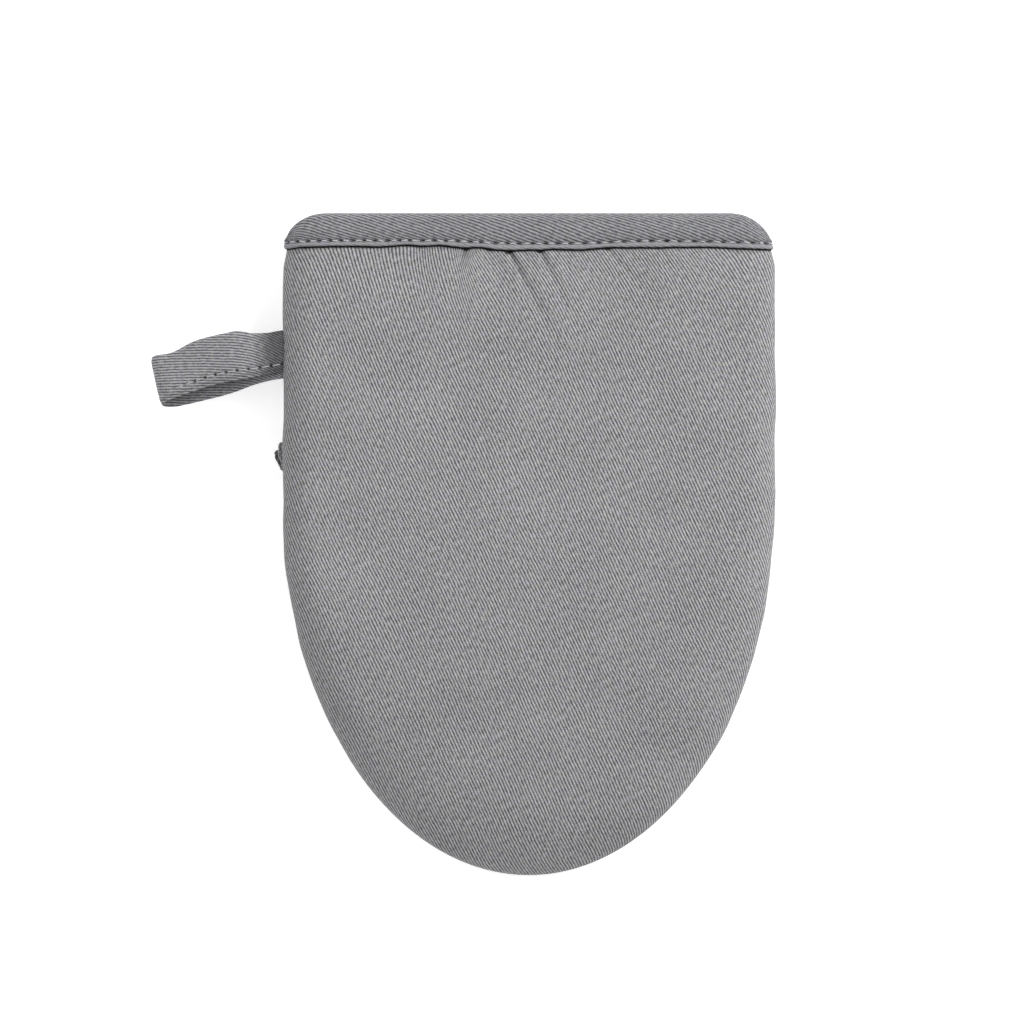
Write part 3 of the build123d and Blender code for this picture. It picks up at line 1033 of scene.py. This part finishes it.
# Plan edges of the loop's two runs, from the seam outwards: (x, y) in mm
TOP_UPPER = mm([
    (-76.5, 70.2), (-80.3, 70), (-85.4, 69.2), (-90.9, 69.2), (-94.5, 69.8),
    (-99, 69.1), (-109.4, 66.5), (-117.9, 62.6), (-124, 62.2),
])
TOP_LOWER = mm([
    (-76.5, 56.6), (-80.5, 56.3), (-90.9, 54.5), (-100.3, 52.9), (-110.4, 49.9),
    (-120.7, 46.2),
])
UNDER_LOWER = mm([
    (-76.5, 54.5), (-80.5, 54.3), (-89, 52.6), (-96.4, 50), (-107.8, 47), (-118, 44.8),
])
# The loop falls away from the seam, and its end turns over the last part of t
LOOP_FALL = math.tan(math.radians(14.0))
LOOP_END_T = 0.915
UNDER_WIDTH = 0.93


def loop_surface(a, v):
    """Middle surface of the strip.

    a runs 0 to 1 out on top, 1 to 2 round the end and 2 to 3 back below.
    """
    run = np.where(a < 1, a, np.where(a > 2, 3 - a, 1.0))
    alpha = np.clip(a - 1, 0, 1) * math.pi
    turning = np.where((a >= 1) & (a <= 2), np.sin(alpha), 0.0)
    t = LOOP_END_T * run + (1 - LOOP_END_T) * turning
    under = (1 - np.cos(alpha)) / 2
    upper, lower, low2 = (spline(line, t) for line in (TOP_UPPER, TOP_LOWER, UNDER_LOWER))
    upper2 = low2 + (upper - lower) * UNDER_WIDTH
    up = upper + (upper2 - upper) * under[:, None]
    down = lower + (low2 - lower) * under[:, None]
    x, y = (up[:, None, i] * (1 - v) + down[:, None, i] * v for i in range(2))
    gap = 0.001 + 0.003 * smooth(t, 0.05, 0.45)
    axis = SEAM_Z + LOOP_FALL * np.minimum(x + 0.0805, 0.0)
    curl = 0.0006 * (2 * v - 1) ** 2
    bulge = 0.0009 * smooth(t, 0.15, 0.4)[:, None] * (1 - smooth(t, 0.4, 0.75)[:, None]) * (1 - v)
    below = under[:, None]
    height = (gap * np.cos(alpha))[:, None] + (bulge - curl) * (1 - below) + curl * below
    return np.stack([x, y, axis + height], -1)


# The line of stitches: share of the strip's width, pitch, count and radius
LOOP_STITCH_V = 0.8
LOOP_STITCH_PITCH = 0.0038
LOOP_STITCHES = 11
LOOP_THREAD_RADIUS = 0.0002


def loop_sheet():
    """The strip's middle surface, its normals, and the parameters and lengths of its rows."""
    runs = int(230 * FINE)
    a = np.concatenate([
        np.linspace(0, 1, runs, endpoint=False),
        np.linspace(1, 2, 30, endpoint=False),
        np.linspace(2, 3, runs),
    ])
    v = 0.5 - 0.5 * np.cos(np.linspace(0, math.pi, int(100 * FINE)))
    mid = loop_surface(a, v[None])
    normal = np.cross(np.gradient(mid, axis=0), np.gradient(mid, axis=1))
    normal /= norm(normal, axis=2)[..., None]
    step = norm(np.diff(mid[:, len(v) // 2], axis=0), axis=1)
    return a, v, mid, normal, run_length(step)


def make_loop():
    """The hanging loop's folded strip, with needle holes sunk along one edge."""
    a, v, mid, normal, length = loop_sheet()
    x, y = mid[..., 0], mid[..., 1]
    phase = np.mod(length / LOOP_STITCH_PITCH, 1.0)
    width = norm(mid[:, -1] - mid[:, 0], axis=1)[:, None]
    off = (v[None] - LOOP_STITCH_V) * width
    under = smooth(a, 1.2, 1.8)[:, None]
    hole = (bump(phase, 0.0, 0.12) + bump(phase, 1.0, 0.12))[:, None]
    hole = hole * bump(off, 0.0, 0.00046)
    hole = hole * (1 - under) * (0.35 + 0.65 * smooth(x, -0.1125, -0.1085))
    groove = bump(off, 0.0, 0.0006) * (1 - under)
    fold = bump(v[None] * width, width - 0.0011, 0.0005) * (1 - under)
    wave = 0.00015 * lumps(length[:, None] * 2.0, v[None] * 0.03)
    edge = np.sqrt(1 - (2 * v - 1) ** 8)
    thick = 0.00082 * np.maximum(edge, 0.12)[None]
    face = thick + wave - 0.00015 * groove - 0.0006 * hole - 0.0002 * fold
    outer = mid + normal * face[..., None]
    inner = mid - normal * thick[..., None]
    bend = 0.6 * 0.0032 * np.logaddexp(0.0, (x + 0.0885) / 0.0032)
    root_shadow = smooth(x, -0.0915, -0.083) * (1 - under)
    rim = smooth(v[None] * width, width - 0.0004, width) * (1 - under)
    # Painted shade: shadow in the needle holes, the body's shadow over the root, the under run and
    # the fold line darker, and a painted shadow line along the upper run's lower edge
    shade = (1 - 0.92 * hole) * (1 - 0.6 * root_shadow) * (1 - 0.18 * under)
    shade = shade * (1 - 0.25 * fold) * (1 - 0.45 * rim)
    uv = np.stack([y + bend, length[:, None] + 0 * y], -1)
    return closed_sheet("loop_strip", outer, inner, uv, np.clip(shade, 0.06, 1), loop_twill)


def make_loop_stitches():
    """Edge stitches between the needle holes on the loop's upper run."""
    a, v, _, normal, length = loop_sheet()
    column = int(np.argmin(np.abs(v - LOOP_STITCH_V)))
    t = np.linspace(-1, 1, 9)
    paths = []
    for i in range(LOOP_STITCHES):
        reach = (i + 0.5) * LOOP_STITCH_PITCH + t * 0.00142
        row = np.interp(reach, length, a)
        on = loop_surface(row, np.full((1, 1), LOOP_STITCH_V))[:, 0]
        n = np.stack([np.interp(row, a, normal[:, column, j]) for j in range(3)], -1)
        lift = 0.00092 - 0.00045 * np.abs(t) ** 4
        paths.append(on + n * lift[:, None])
    return threads("loop_stitches", paths, LOOP_THREAD_RADIUS, 6)


loop_strip = make_loop()
loop_stitches = make_loop_stitches()


# --- folds at the crease
CREASE_WALL = 0.0783
PLEATS = 3


def node_box(name):
    low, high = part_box(name)
    return np.array(low), np.array(high)


def one_fold(low, high, lean, seed):
    """A closed fold of cloth that fills a box, leaning in x along its length in y."""
    middle, half = (low + high) / 2, (high - low) / 2
    rows, columns = 40, 56
    theta = np.linspace(0.02, math.pi - 0.02, rows)[:, None]
    phi = np.linspace(0, math.tau, columns, endpoint=False)[None]
    field = waves(seed, 16, 1.6, 0.5)
    ring = np.maximum(np.sin(theta), 0.02) ** 0.45
    fold = 0.13 * np.sin(PLEATS * phi + 2.2 * np.sin(2.2 * theta))
    fold = fold + 0.12 * field(3 * np.cos(phi), 2 * theta)
    radius = ring * (0.9 + fold)
    x = middle[0] + half[0] * radius * np.cos(phi) - lean * np.cos(theta)
    y = middle[1] - half[1] * np.cos(theta) + 0 * phi
    z = middle[2] + half[2] * radius * np.sin(phi)
    return np.stack([x, y, z], -1), fold


def folded_bunch(name, node, folds, seed):
    """The folded cloth at one end of the crease: overlapping folds that run in to the wall.

    Each fold is given by shares of its node's box: from and to in y, how far it
    stands out, from and to in z, how far its rear end leans out, and its painted shade.
    """
    low, high = node_box(node)
    size = high - low
    side = np.sign(low[0] + high[0])
    out = high[0] if side > 0 else low[0]
    wall = side * CREASE_WALL
    co, faces, shade, uv, start = [], [], [], [], 0
    for i, (y0, y1, reach, z0, z1, lean, tone) in enumerate(folds):
        edge = wall + (out - wall) * reach
        near = low + size * (0.0, y0, z0)
        far = low + size * (0.0, y1, z1)
        near[0], far[0] = min(wall, edge), max(wall, edge)
        grid, fold = one_fold(near, far, side * lean, seed + i)
        co.append(grid)
        faces += tube_faces(*fold.shape, start)
        start += fold.size
        y, z = grid[..., 1], grid[..., 2]
        # Painted shade: each fold's level for the body's shadow over it, darker in its pleats'
        # hollows and lighter on their ridges
        shade.append(np.clip(tone * (1 + 2.0 * fold), 0.12, 1.0))
        uv.append(np.stack([z * 0.8 + y * 0.5, y], -1))
    return new_mesh(name, co, faces, uv, shade, cover_twill)


# In both tables the last column is painted shade: these folds lie in the body's shadow, the middle
# left one deepest
LEFT_FOLDS = [
    (0.24, 0.97, 0.76, 0.1, 1.35, 0.0002, 0.85),
    (0.1, 0.74, 0.96, 0.0, 0.8, 0.0009, 0.34),
    (0.00, 0.36, 0.56, 0.2, 1.00, 0.0002, 0.7),
]
RIGHT_FOLDS = [
    (0.3, 0.98, 0.85, 0.15, 1.1, 0.0, 0.8),
    (0.05, 0.6, 0.7, 0.0, 0.8, 0.0001, 0.7),
]
tuck_left = folded_bunch("crease_fold_left", "crease_tuck_left", LEFT_FOLDS, 31)
tuck_right = folded_bunch("crease_fold_right", "crease_tuck_right", RIGHT_FOLDS, 37)


def make_gusset():
    """Turned-in allowances along the crease: a flat wavy roll, thicker at its two ends."""
    low, high = node_box("crease_gusset")
    middle, half = (low + high) / 2, (high - low) / 2
    across = np.linspace(-1, 1, int(160 * FINE))[:, None]
    turn = np.linspace(0, math.tau, 40, endpoint=False)[None]
    y = np.sign(np.cos(turn)) * np.abs(np.cos(turn)) ** 0.55 * half[1]
    z = np.sign(np.sin(turn)) * np.abs(np.sin(turn)) ** 0.55 * half[2]
    shrink = np.sqrt(np.maximum(1 - across**40, 0.05))
    ends = across**8
    x = across * (CREASE_WALL + 0.0001)
    ripple = 0.00025 * ripples(x * 0.5, z)
    height = middle[2] - 0.002 * ends + z * shrink * (1 + 0.33 * ends)
    wide = middle[1] + y * shrink * (1 + 0.8 * ends) + ripple
    co = np.stack([x + 0 * turn, wide, height], -1)
    faces = tube_faces(*co.shape[:2])
    uv = np.stack([x + 0 * turn, z + 0 * x], -1)
    plain = np.ones(co.shape[:2])
    return new_mesh("crease_allowance", co, faces, uv, plain, cover_twill)


gusset = make_gusset()


# --- seam stitches
SEAM_PITCH = 0.0034
SEAM_THREAD_RADIUS = 0.00013


def seam_outline(panel, rear_y, k):
    """Evenly spaced points down one side of a panel's seam and up the other."""
    turn = np.linspace(0, math.pi / 2, 400)
    y = np.concatenate([
        np.linspace(rear_y, panel.ellipse_y, 400, endpoint=False),
        panel.ellipse_y - (panel.depth - k) * np.sin(turn),
    ])
    x = panel.width(y, k)
    x, y = np.concatenate([x, -x[::-1]]), np.concatenate([y, y[::-1]])
    length = run_length(np.hypot(np.diff(x), np.diff(y)))
    want = np.arange(SEAM_PITCH, length[-1] - SEAM_PITCH, SEAM_PITCH)
    return np.interp(want, length, x), np.interp(want, length, y)


def ladder(name, panel, rear_y):
    """Stitches seen in the seam where two covers meet."""
    x, y = seam_outline(panel, rear_y, 0.0002)
    z = panel.seam(y)
    tangent = np.stack([np.gradient(x), np.gradient(y)], -1)
    tangent /= norm(tangent, axis=1)[:, None]
    x, y, z = x[:, None], y[:, None], z[:, None]
    t = np.linspace(-1, 1, 5)
    inset = 1 - 0.0003 / 0.08 * t**2
    lean_x, lean_y = (tangent[:, i, None] * t * 0.0004 for i in range(2))
    paths = np.stack([x * inset + lean_x, y + lean_y, z + t * 0.0006], -1)
    return threads(name, paths, SEAM_THREAD_RADIUS, 6)


side_stitches = ladder("side_seam_stitches", back_panel, BAND_Y - 0.004)
thumb_stitches = ladder("thumb_seam_stitches", thumb_panel, CREASE_Y - 0.003)


def on_mitt(obj, *nodes):
    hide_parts(*nodes)
    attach(obj, "mitt")


def over_hinge(obj, *nodes):
    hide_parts(*nodes)
    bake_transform(obj)


for kind, made in (("shell", covers), ("wadding", waddings), ("lining", linings)):
    on_mitt(made["back"], f"back_{kind}")
    on_mitt(made["finger_grip"], f"finger_grip_{kind}")
    over_hinge(made["palm"], f"cuff_{kind}", f"thumb_back_{kind}")
    over_hinge(made["thumb_grip"], f"thumb_grip_{kind}")
on_mitt(binding, "mouth_binding")
on_mitt(topstitch, "binding_topstitch")
on_mitt(side_stitches, "side_seam_thread")
over_hinge(thumb_stitches, "thumb_seam_thread")
on_mitt(tuck_left, "crease_tuck_left")
over_hinge(tuck_right, "crease_tuck_right")
over_hinge(gusset, "crease_gusset")
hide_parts("hanging_loop", "loop_tail")
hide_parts("loop_edge_stitches")
for obj in (loop_strip, loop_stitches):
    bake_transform(obj)


# --- studio
def floor_material():
    """A pale table top that glows a little, so that it goes almost to white."""
    n = Nodes("pale_floor")
    grain = n.noise(n.add("ShaderNodeTexCoord").outputs["Object"], 400.0, 3.0)
    pale = (0.94, 0.94, 0.94)
    soft = tuple(0.985 * c for c in pale)
    socket(n.shader, "Emission Color", (1.0, 1.0, 1.0, 1.0))
    socket(n.shader, "Emission Strength", 0.46)
    return n.finish(n.mix(grain, soft, pale), 0.9, 0.1)


bpy.ops.mesh.primitive_plane_add(size=6.0, location=(0, 0, -0.0002))
floor = bpy.context.object
floor.name = "floor"
floor.data.materials.append(floor_material())


LIGHT_AIM = np.array((0.0, 0.0, 0.015))


def area_light(name, place, size, power):
    data = bpy.data.lights.new(name, "AREA")
    data.shape = "DISK"
    data.size = size
    data.energy = power
    light = add_object(name, data)
    light.location = place
    light.rotation_mode = "QUATERNION"
    light.rotation_quaternion = Vector(LIGHT_AIM - np.array(place)).to_track_quat("-Z", "Y")


area_light("key", (1.00, 0.8, 1.15), 1.4, 26.0)
area_light("fill", (-1.0, 0.1, 1.4), 1.6, 5.0)

world = bpy.data.worlds.new("studio")
scene.world = world
world.use_nodes = True
background = world.node_tree.nodes["Background"]
socket(background, "Color", (1.0, 1.0, 1.0, 1.0))
socket(background, "Strength", 0.68)

# Straight above the mitt. The picture is 0.3328 m wide at the height of its middle
CAMERA_HEIGHT = 2.5
MIDDLE_HEIGHT = 0.024
PICTURE_WIDTH = 0.3328
camera_data = bpy.data.cameras.new("camera")
camera_data.lens = camera_data.sensor_width * (CAMERA_HEIGHT - MIDDLE_HEIGHT) / PICTURE_WIDTH
camera = add_object("camera", camera_data)
camera.location = (-0.00544, 0.01097, CAMERA_HEIGHT)
camera_data.clip_end = 20.0
scene.camera = camera

scene.view_settings.view_transform = "Standard"
scene.view_settings.look = "None"
